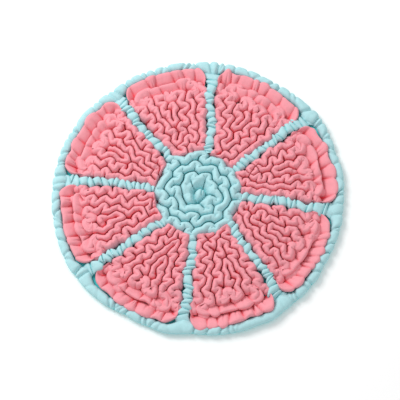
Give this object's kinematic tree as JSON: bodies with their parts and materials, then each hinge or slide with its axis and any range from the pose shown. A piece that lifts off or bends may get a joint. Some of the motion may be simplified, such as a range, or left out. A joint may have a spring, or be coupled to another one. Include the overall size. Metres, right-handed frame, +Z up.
{
  "type": "slow feeder mat",
  "caption": "Round pet feeding mat: a flat base cloth with a gathered rim, fan-shaped petals of upright gathered fleece folds, gathered spokes between them and a gathered rosette in the middle",
  "frame": {"origin": "middle of the base cloth's flat underside, on the surface that the mat lies on", "axes": "+Z up out of the mat, along its thickness; +X to the right and +Y away from the viewer in the picture's view"},
  "size_m": [0.5508, 0.5504, 0.029],
  "materials": {
    "pink_fleece": "soft napped fleece, matt",
    "aqua_fleece": "soft napped fleece, matt"
  },
  "bodies": {
    "root": {"base_cloth": "aqua_fleece", "rim_binding": "aqua_fleece", "rosette": "aqua_fleece", "spoke_1": "aqua_fleece", "spoke_2": "aqua_fleece", "spoke_3": "aqua_fleece", "spoke_4": "aqua_fleece", "spoke_5": "aqua_fleece", "spoke_6": "aqua_fleece", "spoke_7": "aqua_fleece", "spoke_8": "aqua_fleece", "petal_1": "pink_fleece", "petal_2": "pink_fleece", "petal_3": "pink_fleece", "petal_4": "pink_fleece", "petal_5": "pink_fleece", "petal_6": "pink_fleece", "petal_7": "pink_fleece", "petal_8": "pink_fleece"}
  },
  "joints": []
}
